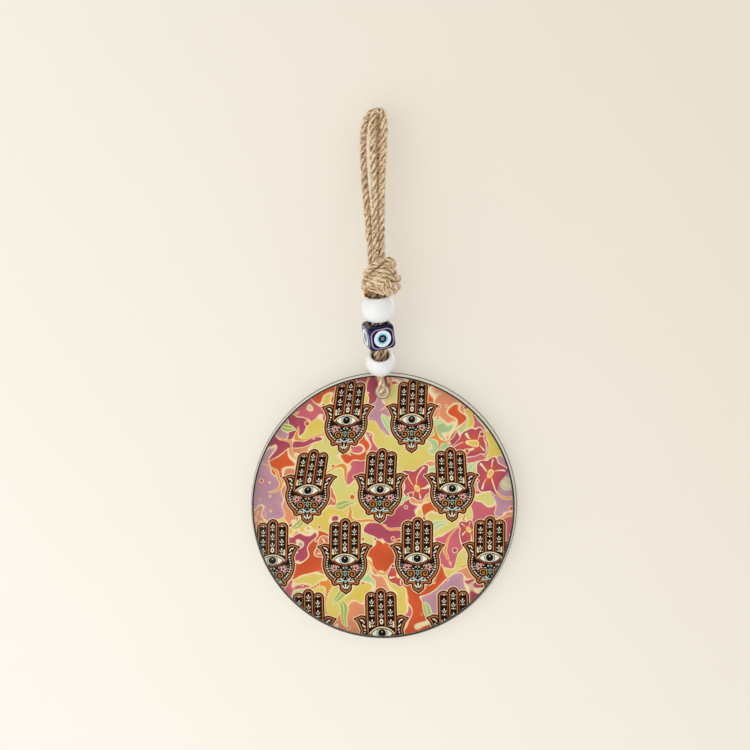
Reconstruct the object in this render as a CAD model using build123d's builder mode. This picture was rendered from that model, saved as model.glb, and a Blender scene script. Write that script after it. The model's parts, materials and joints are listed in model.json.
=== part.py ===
"""Round glass wall hanging: a printed glass disc on a knotted jute cord with three beads.

Millimetres. The origin is the nail seat, the inside top of the hanging loops.
+Z is up, +X is to the viewer's right and -Y is towards the viewer.
"""

import os
from math import cos, pi, radians, sin, sqrt, tan

from build123d import *

# Jute cord
cord_d = 3.4
strand_gap = 0.2
running_gap = 0.3

# Knot below the hanging loops
knot_drop = 79.6
knot_forward = 11.5
knot_side = -0.15
knot_core_d = 12.0
knot_turn_d = 4.0
knot_under = 6.5
tail_length = 5.0
tail_place = (-5.4, -4.4, -4.6)
tail_way = (-0.3, -0.35, -1.0)

# Wooden beads
upper_bead_d = 16.0
lower_bead_d = 14.4
bead_bore_d = 8.4
bead_lip = 0.8
upper_bead_lean = 20.0
upper_bead_roll = 3.0
lower_bead_lean = 45.0

# Glass cube bead and the coloured glass of its eyes
cube_width = 13.4
cube_height = 12.6
cube_edge = 2.4
cube_bore_d = 8.6
cube_lean = 22.0
cube_roll = 6.0
cube_turn = 16.5
eye_count = 4
eye_depth = 0.75
eye_ring_width = 11.6
eye_ring_height = 10.4
eye_ring_corner = 3.6
eye_ring_line = 0.8
eye_white_d = 8.4
eye_blue_d = 6.0
eye_pupil_d = 3.9
eye_centre_d = 1.9

# Glass disc and the printed film on its back
disc_d = 130.0
disc_t = 4.0
hole_d = 6.4
hole_below_rim = 9.5
hole_arris = 0.4
film_t = 0.25
film_hole_margin = 0.4

# Steps down the cord: the lean of each, the room left in it and the side place it leads to
upper_step_lean = 2.0
cube_step_lean = 21.0
lower_step_lean = 21.7
rim_step_lean = 46.25
upper_to_cube_room = 0.6
cube_to_lower_room = 0.8
rim_room = 0.7
upper_bead_side = -1.65
cube_side = -1.5
lower_bead_side = -0.8

# The cord where it passes through the hole and over the rim
cord_above_hole_centre = 0.5
cord_over_rim = 2.5

cord_r = cord_d / 2
strand_side = cord_r + strand_gap / 2
upper_bead_r = upper_bead_d / 2
lower_bead_r = lower_bead_d / 2
bead_bore_r = bead_bore_d / 2
cube_bore_r = cube_bore_d / 2
disc_r = disc_d / 2
rim_r = disc_t / 2
hole_r = hole_d / 2
upper_bead_seat = sqrt(upper_bead_r**2 - bead_bore_r**2)
lower_bead_seat = sqrt(lower_bead_r**2 - bead_bore_r**2)
front_stand = rim_r + running_gap + cord_r
back_stand = rim_r + film_t + running_gap + cord_r


def step_down(start, lean, distance, side):
    """Point a distance down the cord from start, leaning away from the viewer, at its own side place."""
    return Vector(
        side,
        start.Y + distance * sin(radians(lean)),
        start.Z - distance * cos(radians(lean)),
    )


def leaning_plane(centre, lean, roll=0.0, turn=0.0):
    """Plane across a bead's bore, whose top leans towards the viewer and rolls to the viewer's left."""
    bore = Vector(
        -sin(radians(roll)),
        -sin(radians(lean)) * cos(radians(roll)),
        cos(radians(lean)) * cos(radians(roll)),
    )
    back = bore.cross(Vector(1, 0, 0)).normalized()
    across = back.cross(bore)
    return Plane(
        origin=centre,
        x_dir=across * cos(radians(turn)) + back * sin(radians(turn)),
        z_dir=bore,
    )


# Centres of the pieces, from the nail seat downwards
knot_centre = Vector(knot_side, -knot_forward, -knot_drop)
upper_centre = step_down(
    knot_centre, upper_step_lean, knot_under + upper_bead_r, upper_bead_side
)
cube_centre = step_down(
    upper_centre,
    cube_step_lean,
    upper_bead_seat + upper_to_cube_room + cube_height / 2,
    cube_side,
)
lower_centre = step_down(
    cube_centre,
    lower_step_lean,
    cube_height / 2 + cube_to_lower_room + lower_bead_r,
    lower_bead_side,
)
rim_centre = step_down(lower_centre, rim_step_lean, lower_bead_r + rim_room + rim_r, 0)
rim_top = rim_centre + Vector(0, 0, rim_r)
disc_centre = rim_top - Vector(0, 0, disc_r)
hole_centre = rim_top - Vector(0, 0, hole_below_rim)

upper_plane = leaning_plane(upper_centre, upper_bead_lean, upper_bead_roll)
cube_plane = leaning_plane(cube_centre, cube_lean, cube_roll)
cube_frame = leaning_plane(cube_centre, cube_lean, cube_roll, cube_turn)
lower_plane = leaning_plane(lower_centre, lower_bead_lean)

os.makedirs("parts", exist_ok=True)


def corner_radii(points):
    """Radius of the arc at each inner point of a route, as large as its two runs allow."""
    radii = []
    for before, here, after in zip(points, points[1:], points[2:]):
        run_in = here - before
        run_out = after - here
        half_turn = radians(run_in.get_angle(run_out)) / 2
        radii.append(0.45 * min(run_in.length, run_out.length) / tan(half_turn))
    return radii


def make_cord(label, points):
    """Round cord along straight runs joined by tangent arcs."""
    radii = corner_radii(points)
    with BuildPart() as cord:
        with BuildLine() as route:
            FilletPolyline(*points, radius=radii)
        path = route.wire()
        with BuildSketch(Plane(origin=path @ 0, z_dir=path % 0)):
            Circle(cord_r)
        sweep(path=path)
    cord.part.label = label
    share = cord.part.volume / (pi * cord_r**2 * path.length)
    print(label, f"length {path.length:.1f}, volume {share:.4f} of section times length")
    print("  radii", [round(radius, 1) for radius in radii])
    return cord


def make_wood_bead(label, plane, diameter, seat):
    """Round bead with a wide bore and softened mouths."""
    with BuildPart(plane) as bead:
        Sphere(diameter / 2)
        Cylinder(bead_bore_r, diameter, mode=Mode.SUBTRACT)
        mouths = bead.edges().filter_by(GeomType.CIRCLE)
        mouths = mouths.filter_by(
            lambda edge: abs(plane.to_local_coords(edge.arc_center).Z) > seat / 2
        )
        fillet(mouths, bead_lip)
    bead.part.label = label
    return bead


def beside_disc(side, depth, height):
    """Point beside the disc: to the side, behind its middle plane, and above its top edge."""
    return rim_top + Vector(side, depth, height)


# Upper wooden bead
upper_wood_bead = make_wood_bead(
    "upper_wood_bead", upper_plane, upper_bead_d, upper_bead_seat
)
export_step(upper_wood_bead.part, "parts/upper_wood_bead.step")

# Lower wooden bead
lower_wood_bead = make_wood_bead(
    "lower_wood_bead", lower_plane, lower_bead_d, lower_bead_seat
)
export_step(lower_wood_bead.part, "parts/lower_wood_bead.step")

# Blank of the cube bead, which the eyes are cut from
with BuildPart(cube_frame) as cube_blank:
    Box(cube_width, cube_width, cube_height)
    fillet(cube_blank.edges(), cube_edge)


def eye_planes():
    """Planes at the bed of each eye, one on each side of the cube, facing outwards."""
    planes = []
    for index in range(eye_count):
        angle = radians(index * 360 / eye_count)
        outward = cube_frame.x_dir * sin(angle) - cube_frame.y_dir * cos(angle)
        bed = cube_centre + outward * (cube_width / 2 - eye_depth)
        planes.append(
            Plane(origin=bed, x_dir=cube_frame.z_dir.cross(outward), z_dir=outward)
        )
    return planes


def make_eye_discs(label, outer_d, inner_d):
    """One flush disc or ring of coloured glass on each side of the cube."""
    with BuildPart() as discs:
        for plane in eye_planes():
            with BuildSketch(plane):
                Circle(outer_d / 2)
                if inner_d:
                    Circle(inner_d / 2, mode=Mode.SUBTRACT)
            extrude(amount=eye_depth)
        add(cube_blank.part, mode=Mode.INTERSECT)
    discs.part.label = label
    return discs


# Lilac line round each eye
with BuildPart() as eye_rings:
    for plane in eye_planes():
        with BuildSketch(plane):
            RectangleRounded(eye_ring_width, eye_ring_height, eye_ring_corner)
            RectangleRounded(
                eye_ring_width - 2 * eye_ring_line,
                eye_ring_height - 2 * eye_ring_line,
                eye_ring_corner - eye_ring_line,
                mode=Mode.SUBTRACT,
            )
        extrude(amount=eye_depth)
    add(cube_blank.part, mode=Mode.INTERSECT)
eye_rings.part.label = "eye_rings"
export_step(eye_rings.part, "parts/eye_rings.step")

# Round layers of each eye, from its white to its pale centre
eye_whites = make_eye_discs("eye_whites", eye_white_d, eye_blue_d)
export_step(eye_whites.part, "parts/eye_whites.step")
eye_blues = make_eye_discs("eye_blues", eye_blue_d, eye_pupil_d)
export_step(eye_blues.part, "parts/eye_blues.step")
eye_pupils = make_eye_discs("eye_pupils", eye_pupil_d, eye_centre_d)
export_step(eye_pupils.part, "parts/eye_pupils.step")
eye_centres = make_eye_discs("eye_centres", eye_centre_d, 0)
export_step(eye_centres.part, "parts/eye_centres.step")

# Cube bead with its bore and the beds of its eyes
with BuildPart() as cube_bead:
    add(cube_blank.part)
    with Locations(cube_frame):
        Cylinder(cube_bore_r, 2 * cube_height, mode=Mode.SUBTRACT)
    for layer in (eye_rings, eye_whites, eye_blues, eye_pupils, eye_centres):
        add(layer.part, mode=Mode.SUBTRACT)
cube_bead.part.label = "cube_bead"
export_step(cube_bead.part, "parts/cube_bead.step")

# Glass disc with a round polished edge and a drilled hole near its top
with BuildPart() as glass_disc:
    with BuildSketch(Plane(origin=disc_centre, x_dir=(1, 0, 0), z_dir=(0, 0, 1))):
        with BuildLine():
            Polyline((disc_r - rim_r, -rim_r), (0, -rim_r), (0, rim_r), (disc_r - rim_r, rim_r))
            ThreePointArc((disc_r - rim_r, rim_r), (disc_r, 0), (disc_r - rim_r, -rim_r))
        make_face()
    revolve(axis=Axis(disc_centre, (0, 1, 0)))
    with Locations(Plane(origin=hole_centre, x_dir=(1, 0, 0), z_dir=(0, -1, 0))):
        Cylinder(hole_r, 2 * disc_t, mode=Mode.SUBTRACT)
    arrises = glass_disc.edges().filter_by(GeomType.CIRCLE)
    chamfer(
        arrises.filter_by(lambda edge: abs(edge.radius - hole_r) < hole_arris / 2),
        hole_arris,
    )
glass_disc.part.label = "glass_disc"
export_step(glass_disc.part, "parts/glass_disc.step")

# Printed film on the flat of the disc's back
film_plane = Plane(origin=disc_centre + Vector(0, rim_r, 0), x_dir=(1, 0, 0), z_dir=(0, 1, 0))
with BuildPart() as print_film:
    with BuildSketch(film_plane):
        Circle(disc_r - rim_r)
        with Locations(film_plane.to_local_coords(hole_centre + Vector(0, rim_r, 0))):
            Circle(hole_r + hole_arris + film_hole_margin, mode=Mode.SUBTRACT)
    extrude(amount=film_t)
print_film.part.label = "print_film"
export_step(print_film.part, "parts/print_film.step")

# Threaded cord: down from the knot through the beads, in front of the disc, through its hole, up behind
# it and over its rim, and back up through the beads beside itself
bight_height = cord_above_hole_centre - hole_below_rim


def strand_points(side):
    """Points of a strand from above the lower bead up into the knot."""
    return [
        cube_plane.from_local_coords((side, -1.6, -cube_height / 2 - 0.4)),
        cube_plane.from_local_coords((side + 0.4, 0.2, cube_height / 2 + 0.35)),
        upper_plane.from_local_coords((side + 0.2, 1.2, upper_bead_seat + 0.6)),
        knot_centre + Vector(side, 0.8, -1.5),
    ]


front_strand_points = [
    beside_disc(0, -front_stand, bight_height),
    beside_disc(-1.0, -front_stand, -0.9),
    lower_plane.from_local_coords((-1.25, -1.25, -3.6)),
    *strand_points(-strand_side),
]
back_strand_points = [
    beside_disc(0, back_stand, bight_height),
    beside_disc(0.1, back_stand + 0.1, -0.9),
    beside_disc(0.2, 1.9, cord_over_rim + 0.3),
    beside_disc(0.3, -1.7, cord_over_rim + 0.1),
    lower_plane.from_local_coords((1.35, 1.3, -2.4)),
    *strand_points(strand_side),
]
threaded_cord = make_cord(
    "threaded_cord", [*reversed(front_strand_points), *back_strand_points]
)
export_step(threaded_cord.part, "parts/threaded_cord.step")

# Hanging loops: two bights of the cord over the nail, the rear one wider, drawn together at the knot
front_loop_points = [
    knot_centre + Vector(-2.5, -1.3, 4.6),
    Vector(-2.2, -9.3, -50),
    Vector(-3.2, -4.2, -18),
    Vector(-3.0, -1.9, cord_r),
    Vector(2.75, -1.9, cord_r),
    Vector(2.7, -3.5, -14),
    Vector(1.1, -6.6, -38),
    knot_centre + Vector(0.6, 0.4, 4.6),
]
front_hanging_loop = make_cord("front_hanging_loop", front_loop_points)
export_step(front_hanging_loop.part, "parts/front_hanging_loop.step")

rear_loop_points = [
    knot_centre + Vector(-4.1, 1.9, 4.6),
    Vector(-6.0, -5.6, -48),
    Vector(-7.9, -1.25, -22),
    Vector(-7.4, 1.2, -6.5),
    Vector(-5.4, 1.8, -0.4),
    Vector(-1.9, 1.9, 2.2),
    Vector(1.9, 1.9, 0.2),
    Vector(2.2, 1.5, -6.5),
    Vector(0.5, -1.0, -24),
    Vector(-0.5, -4.3, -48),
    knot_centre + Vector(-0.9, 3.7, 4.6),
]
rear_hanging_loop = make_cord("rear_hanging_loop", rear_loop_points)
export_step(rear_hanging_loop.part, "parts/rear_hanging_loop.step")

# Knot: turns of the cord drawn tight round one another. Each turn is given by the place of its middle
# from the knot's centre, its slope seen from the front, its nod towards the viewer and its radius
knot_turns = [
    ((1.2, 0.1, -1.2), 40, 6, 6.6),
    ((-0.9, -0.2, 1.3), 44, -4, 6.9),
    ((-2.9, 0.2, 3.9), 36, 5, 5.4),
    ((3.7, 0.3, -1.9), -4, 8, 4.4),
    ((2.6, 0.4, -4.9), -22, 4, 4.9),
    ((3.4, 0.1, 5.0), 28, 9, 3.1),
]
with BuildPart() as overhand_knot:
    with Locations(knot_centre):
        Sphere(knot_core_d / 2)
    for middle, slope, nod, turn_r in knot_turns:
        turn_normal = Vector(
            -sin(radians(slope)),
            -sin(radians(nod)),
            cos(radians(slope)) * cos(radians(nod)),
        )
        with Locations(Plane(origin=knot_centre + Vector(middle), z_dir=turn_normal)):
            Torus(turn_r, knot_turn_d / 2)
    with Locations(Plane(origin=knot_centre + Vector(tail_place), z_dir=tail_way)):
        Cylinder(cord_r, tail_length, align=(Align.CENTER, Align.CENTER, Align.MIN))
overhand_knot.part.label = "overhand_knot"
export_step(overhand_knot.part, "parts/overhand_knot.step")

print("disc centre", disc_centre)
print("swing axis", beside_disc(0, 0, bight_height))
for name, plane in (("upper", upper_plane), ("cube", cube_plane), ("lower", lower_plane)):
    print(name, "bead centre", plane.origin, "bore", plane.z_dir)
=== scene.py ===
"""Round glass wall hanging: rope work, finishes and stage around its CAD frame.

Metres, in the frame of the CAD model. Routes are lists of points in millimetres.
"""

import json
import math
import random

import bpy
from bpy.props import FloatProperty, FloatVectorProperty, IntProperty, PointerProperty
from mathutils import Matrix, Quaternion, Vector, noise


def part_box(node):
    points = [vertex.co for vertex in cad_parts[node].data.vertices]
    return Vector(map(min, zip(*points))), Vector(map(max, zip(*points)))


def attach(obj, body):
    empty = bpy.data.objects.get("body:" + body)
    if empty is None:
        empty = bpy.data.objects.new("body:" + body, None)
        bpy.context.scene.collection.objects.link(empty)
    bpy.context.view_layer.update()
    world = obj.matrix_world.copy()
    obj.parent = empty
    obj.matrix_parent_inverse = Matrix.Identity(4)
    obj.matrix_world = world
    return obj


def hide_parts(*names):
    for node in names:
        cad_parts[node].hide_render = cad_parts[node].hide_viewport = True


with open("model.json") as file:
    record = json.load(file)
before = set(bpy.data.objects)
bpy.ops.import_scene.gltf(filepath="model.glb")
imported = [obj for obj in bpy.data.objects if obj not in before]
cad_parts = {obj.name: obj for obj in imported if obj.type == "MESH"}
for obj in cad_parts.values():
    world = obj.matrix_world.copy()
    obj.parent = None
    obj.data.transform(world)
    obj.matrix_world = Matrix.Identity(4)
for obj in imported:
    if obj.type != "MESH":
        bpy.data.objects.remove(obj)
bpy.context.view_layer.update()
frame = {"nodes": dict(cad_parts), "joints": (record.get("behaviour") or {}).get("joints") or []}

bl_info = {
    "name": "Glass wall hanging",
    "version": (1, 0, 0),
    "blender": (4, 5, 0),
    "location": "View3D > Sidebar > Hanging",
    "description": "Twists the jute, ties the knot and finishes the beads, the glass and its print",
    "category": "Object",
}

MM = 0.001
JOINTS = {joint["name"]: joint for joint in frame["joints"]}

# Places shared with the CAD model, in millimetres
KNOT_CENTRE = Vector((-0.15, -11.5, -79.6))
CORD_RADIUS = 1.7
STRAND_SIDE = 1.8
BORE_RADIUS = 4.2
HOLE_DROP = 9.5
CUBE_TURN = math.radians(16.5)


def tint(name, description, red, green, blue):
    """A colour that the user may change, given by its screen values, from 0 to 255."""
    linear = []
    for value in (red, green, blue):
        share = value / 255
        linear.append(share / 12.92 if share <= 0.04045 else ((share + 0.055) / 1.055) ** 2.4)
    limits = {"size": 3, "min": 0.0, "max": 1.0, "default": tuple(linear)}
    return FloatVectorProperty(name=name, description=description, subtype="COLOR", **limits)


def measure(name, description, millimetres):
    """A length that the user may change."""
    return FloatProperty(name=name, description=description, unit="LENGTH", min=0.0, default=millimetres * MM)


class HangingJute(bpy.types.PropertyGroup):
    """Sizes and colours of the jute cord."""

    ply_count: IntProperty(name="Plies", description="Yarns twisted into the cord", default=3, min=2, max=4)
    ply_radius: measure("Ply radius", "Radius of one yarn", 0.88)
    ply_offset: measure("Ply offset", "From the cord's middle to the middle of a yarn", 0.82)
    lay_length: measure("Lay length", "Length of cord in which a yarn goes once round", 12.0)
    knot_lay: measure("Knot lay", "Lay length where tight turns take up the twist", 7.6)
    ring_step: measure("Ring step", "Length between two rings of a yarn's mesh", 0.42)
    ring_sides: IntProperty(name="Ring sides", description="Sides of a yarn's mesh", default=10, min=6)
    hair_count: IntProperty(name="Hairs", description="Loose fibres on the loops and the knot", default=5200)
    bight_hair_count: IntProperty(name="Bight hairs", description="Loose fibres in the hole", default=900)
    stray_share: FloatProperty(
        name="Stray share", description="Share of long fibres", subtype="FACTOR", default=0.03
    )
    hair_radius: measure("Hair radius", "Radius of a loose fibre at its foot", 0.06)
    light: tint("Light fibre", "Sunlit face of the fibres", 255, 234, 198)
    middle: tint("Middle fibre", "Common colour of the fibres", 230, 182, 130)
    # The dark fibre is also the colour of the painted shade between the yarns and in the knot's core.
    dark: tint("Dark fibre", "Fibres deep between the yarns", 92, 50, 14)
    cut: tint("Cut end", "Scorched fibres at the cut end", 176, 104, 52)


class HangingBeads(bpy.types.PropertyGroup):
    """Colours of the beads."""

    lacquer: tint("Lacquer", "White lacquer of the wooden beads", 246, 246, 245)
    bare_wood: tint("Bare wood", "Wood inside the bores", 196, 160, 116)
    navy: tint("Navy glass", "Body of the cube bead", 25, 13, 63)
    navy_deep: tint("Deep navy glass", "Darker swirls in the cube's body", 12, 6, 34)
    lilac: tint("Lilac glass", "Line round each eye", 190, 174, 214)
    violet: tint("Violet glass", "Where the line sinks into the cube", 44, 28, 92)
    white: tint("White glass", "White of each eye", 244, 248, 250)
    aqua: tint("Aqua glass", "Blue of each eye at its inside", 92, 186, 220)
    aqua_pale: tint("Pale aqua glass", "Blue of each eye at its outside", 196, 238, 248)
    black: tint("Black glass", "Pupil of each eye", 12, 14, 24)
    grey: tint("Grey glass", "Centre of each eye", 142, 146, 156)


class HangingPrint(bpy.types.PropertyGroup):
    """Sizes and colours of the print and its glass."""

    column_pitch: measure("Column pitch", "From one hand to the next in its row", 35.4)
    row_pitch: measure("Row pitch", "From one row of hands to the next", 35.3)
    ink: tint("Ink", "Lines of the hands", 52, 22, 5)
    night: tint("Night", "Inside of the hands", 34, 14, 3)
    terracotta: tint("Terracotta", "Band round the hands", 162, 80, 38)
    peach: tint("Peach", "Light middle of the band", 212, 142, 92)
    cream: tint("Cream", "Fine ornament and outlines", 254, 230, 184)
    sclera: tint("Eye white", "White of the printed eyes", 248, 242, 222)
    iris: tint("Iris", "Ring round the pupil", 208, 214, 202)
    rose: tint("Rose", "Blossoms in the palms", 232, 164, 160)
    pink: tint("Pink", "Warm pink patches", 222, 112, 124)
    gold: tint("Gold", "Scrolls in the palms", 214, 146, 82)
    teal: tint("Teal", "Drops in the palms", 134, 178, 166)
    frost: tint("Frost", "Pale wings at the feet of the palms", 214, 232, 228)
    olive: tint("Olive yellow", "Ground of the print", 237, 204, 95)
    lime: tint("Pale lime", "Lighter ground of the print", 226, 220, 140)
    mint: tint("Mint", "Pale green leaves", 192, 218, 160)
    sage: tint("Sage", "Green leaves", 172, 194, 100)
    salmon: tint("Salmon", "Pale orange patches", 244, 158, 118)
    coral: tint("Coral", "Red patches and blossoms", 228, 98, 56)
    orange: tint("Orange", "Tendrils", 238, 150, 62)
    magenta: tint("Magenta", "Dark pink blossoms", 192, 84, 106)
    lilac: tint("Lilac", "Pale purple patches", 210, 156, 172)
    border: tint("Border", "Unprinted edge of the film", 250, 242, 228)
    backing: tint("Backing", "Back of the printed film", 232, 228, 218)
    film_reach: measure("Film reach", "How far the film runs past its solid", 0.5)
    film_gap: measure("Film gap", "From the glass to the film, so that the two faces are not one", 0.05)
    film_hole: measure("Film hole", "Radius of the hole in the film", 3.6)
    ground_hole: measure("Ground hole", "Radius of the rough glass round the hole", 3.75)
    printed_radius: measure("Printed radius", "Radius of the printed circle", 63.4)
    printed_drop: measure("Printed drop", "Printed circle below the disc's middle", 0.6)
    printed_left: measure("Printed left", "Printed circle left of the disc's middle", 0.3)
    glass_tint: tint("Glass tint", "What the clear glass lets through", 254, 255, 254)
    # Colour of the painted dark line that stands in for refraction at the glass's rounded edge.
    painted_refraction_colour: tint("Glass edge", "Dark line where the face ends", 28, 21, 15)
    # Colour of the painted shade round the rim's outside, standing in for reflections in the glass's edge.
    painted_rim_colour: tint("Rim glass", "Round rim of the disc", 96, 92, 80)
    # Colour of the rough glass round the hole, darkened as painted shade in the hole.
    ground_glass_and_painted_shade: tint("Ground glass", "Rough wall of the drilled hole", 138, 118, 80)


class HangingStage(bpy.types.PropertyGroup):
    """Wall, lights and camera."""

    wall: tint("Wall", "Plain plaster behind the hanging", 240, 232, 216)
    # Colour of the painted light on the plaster towards the lower left.
    painted_wall_light: tint("Light wall", "Plaster towards the window", 255, 250, 240)
    wall_place: measure("Wall place", "The wall's face, behind the nail seat", 12.3)
    wall_size: measure("Wall size", "Width and height of the wall", 6000)
    frame_width: measure("Frame width", "Width of the picture at the disc", 365.25)
    distance: measure("Camera distance", "From the camera to the disc", 1100)
    roll: FloatProperty(
        name="Roll", description="Turn of the camera", unit="ROTATION", default=math.radians(0.8)
    )


class Wire:
    """A socket of a shader. Arithmetic on it adds Math nodes."""

    def __init__(self, tree, socket=None):
        self.tree = tree
        self.socket = socket

    def add(self, kind, settings=None, sockets=None, output=0):
        """Adds a node: its settings first, then its sockets' values or links.

        Gives the wire of an output, a tuple of wires for a tuple of outputs, or nothing for None.
        """
        node = self.tree.nodes.new(kind)
        for name, value in (settings or {}).items():
            if name == "stops":
                self.set_stops(node.color_ramp, value)
            else:
                setattr(node, name, value)
        for key, value in (sockets or {}).items():
            if isinstance(value, Wire):
                self.tree.links.new(value.socket, node.inputs[key])
            else:
                node.inputs[key].default_value = value
        if output is None:
            return None
        if isinstance(output, tuple):
            return tuple(Wire(self.tree, node.outputs[key]) for key in output)
        return Wire(self.tree, node.outputs[output])

    @staticmethod
    def set_stops(ramp, stops):
        """Gives a colour ramp its stops, as pairs of place and colour."""
        while len(ramp.elements) < len(stops):
            ramp.elements.new(1.0)
        for element, (place, colour) in zip(ramp.elements, stops):
            element.position = place
            element.color = (*colour, 1.0)

    def math(self, operation, *values, clamp=False):
        sockets = dict(enumerate((self, *values)))
        return self.add("ShaderNodeMath", {"operation": operation, "use_clamp": clamp}, sockets)

    def __add__(self, other):
        return self.math("ADD", other)

    __radd__ = __add__

    def __sub__(self, other):
        return self.math("SUBTRACT", other)

    def __rsub__(self, other):
        return self.add("ShaderNodeMath", {"operation": "SUBTRACT"}, {0: other, 1: self})

    def __mul__(self, other):
        return self.math("MULTIPLY", other)

    __rmul__ = __mul__

    def __truediv__(self, other):
        return self.math("DIVIDE", other)

    def __abs__(self):
        return self.math("ABSOLUTE")

    def least(self, other):
        return self.math("MINIMUM", other)

    def most(self, other):
        return self.math("MAXIMUM", other)

    def melt(self, other, reach):
        """Least of two distances, with the corner between them rounded."""
        return self.math("SMOOTH_MIN", other, reach)

    def clamped(self):
        """The value kept between 0 and 1."""
        return self.math("ADD", 0.0, clamp=True)

    def wrap(self, half):
        """The value wound back between minus half and half."""
        return self.math("WRAP", half, -half)

    def below(self, edge, soft=0.1):
        """1 where the value is under edge and 0 above it."""
        return self.math("MULTIPLY_ADD", -1 / soft, edge / soft + 0.5, clamp=True)

    def above(self, edge, soft=0.1):
        """1 where the value is over edge and 0 under it."""
        return self.math("MULTIPLY_ADD", 1 / soft, 0.5 - edge / soft, clamp=True)

    def between(self, low, high, soft=0.1):
        """1 from low to high."""
        return abs(self - (low + high) / 2).below((high - low) / 2, soft)

    def blend(self, colour, over):
        """Colours mixed by this mask: colour where it is 0 and over where it is 1."""
        sockets = {0: self, 6: self.opaque(colour), 7: self.opaque(over)}
        return self.add("ShaderNodeMix", {"data_type": "RGBA"}, sockets, output=2)

    @staticmethod
    def opaque(colour):
        return colour if isinstance(colour, Wire) else (*colour, 1.0)

    def ramp(self, *stops):
        """Colour at this value, between stops of place and colour."""
        return self.add("ShaderNodeValToRGB", {"stops": stops}, {"Fac": self})

    def join(self, second, third=0.0):
        """Vector of this value and one or two more."""
        return self.add("ShaderNodeCombineXYZ", None, {0: self, 1: second, 2: third})

    def split(self):
        """The three values of this vector."""
        return self.add("ShaderNodeSeparateXYZ", None, {0: self}, output=(0, 1, 2))

    def size(self):
        """Length of this vector."""
        return self.add("ShaderNodeVectorMath", {"operation": "LENGTH"}, {0: self}, output="Value")

    def span(self, other):
        """Length of the line across two values at right angles."""
        return self.join(other).size()

    def dot(self, direction):
        """Length of this vector along a direction."""
        sockets = {0: self, 1: tuple(direction)}
        return self.add("ShaderNodeVectorMath", {"operation": "DOT_PRODUCT"}, sockets, output="Value")

    def noise(self, scale, detail=2.0, roughness=0.5):
        """Cloudy value, about a half, over this vector."""
        sockets = {"Vector": self, "Scale": scale, "Detail": detail, "Roughness": roughness}
        return self.add("ShaderNodeTexNoise", None, sockets)

    def bump(self, strength, depth):
        """Normal of a surface with this relief, whose depth is in metres."""
        sockets = {"Strength": strength, "Distance": depth, "Height": self}
        return self.add("ShaderNodeBump", None, sockets)


def new_canvas(name):
    """A new material and the wire that its nodes are made from."""
    material = bpy.data.materials.new(name)
    material.use_nodes = True
    material.node_tree.nodes.clear()
    return material, Wire(material.node_tree)


def principled(canvas, sockets):
    return canvas.add("ShaderNodeBsdfPrincipled", None, sockets)


def surfaced(material, shader):
    """The material, with a shader joined to its output."""
    shader.add("ShaderNodeOutputMaterial", None, {"Surface": shader}, output=None)
    return material


def object_place(canvas, centre=(0, 0, 0)):
    """Place on the object in millimetres from a centre given in metres."""
    place = canvas.add("ShaderNodeTexCoord", output="Object")
    sockets = {"Vector": place, "Location": tuple(-value / MM for value in centre), "Scale": (1 / MM,) * 3}
    return canvas.add("ShaderNodeMapping", None, sockets)


def dimmed(colour, share):
    """A darker tone of a colour."""
    return [value * share for value in colour]


def layered(colour, *layers):
    """A colour under layers, each a pair of mask and paint."""
    for mask, over in layers:
        colour = mask.blend(colour, over)
    return colour


# Rope work

FRONT_LOOP = [
    KNOT_CENTRE + Vector((-2.5, -1.3, 4.6)),
    (-2.2, -9.3, -50),
    (-3.2, -4.2, -18),
    (-3.0, -1.9, CORD_RADIUS),
    (2.75, -1.9, CORD_RADIUS),
    (2.5, -3.5, -14),
    (0.6, -6.6, -38),
    KNOT_CENTRE + Vector((0.6, 0.4, 4.6)),
]
REAR_LOOP = [
    KNOT_CENTRE + Vector((-4.1, 1.9, 4.6)),
    (-6.0, -5.6, -48),
    (-7.9, -1.25, -22),
    (-7.4, 1.2, -6.5),
    (-5.4, 1.8, -0.4),
    (-1.9, 1.9, 2.2),
    (0.6, 1.9, 0.2),
    (-0.2, 1.5, -6.5),
    (-1.0, -0.6, -24),
    (-1.0, -4.1, -48),
    KNOT_CENTRE + Vector((-0.9, 3.7, 4.6)),
]

# Length of cord to one unit of a yarn's map, and length round a yarn, in millimetres
MAP_LENGTH = 10
YARN_ROUND = 5.6


def link(name, data):
    """A new object in the scene."""
    made = bpy.data.objects.new(name, data)
    bpy.context.scene.collection.objects.link(made)
    return made


def add_shape(name, add, **sizes):
    """A new object of one of Blender's own shapes."""
    bpy.ops.object.select_all(action="DESELECT")
    add(**sizes)
    shape = bpy.context.object
    shape.name = name
    return shape


def follow_route(points):
    """Evenly read points along the smooth line of a route, in metres."""
    curve = bpy.data.curves.new("route", "CURVE")
    curve.dimensions = "3D"
    curve.resolution_u = 24
    spline = curve.splines.new("NURBS")
    spline.points.add(len(points) - 1)
    for spot, point in zip(spline.points, points):
        spot.co = (*(Vector(point) * MM), 1.0)
    spline.order_u = 3
    spline.use_endpoint_u = True
    line = link("route", curve)
    bpy.context.view_layer.update()
    mesh = bpy.data.meshes.new_from_object(line)
    places = [vertex.co.copy() for vertex in mesh.vertices]
    bpy.data.meshes.remove(mesh)
    bpy.data.objects.remove(line)
    bpy.data.curves.remove(curve)
    return places


def line_length(places):
    return sum((after - here).length for here, after in zip(places, places[1:]))


def even_steps(places, step):
    """Points about a step apart along a line, and the line's length."""
    total = line_length(places)
    count = max(4, round(total / step))
    wanted = [total * index / count for index in range(count + 1)]
    result = []
    walked = 0.0
    for here, after in zip(places, places[1:]):
        run = (after - here).length
        while wanted and wanted[0] <= walked + run + 1e-9:
            share = (wanted[0] - walked) / run if run else 0.0
            result.append(here.lerp(after, share))
            wanted.pop(0)
        walked += run
    result.extend([places[-1].copy()] * len(wanted))
    return result, total


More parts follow.
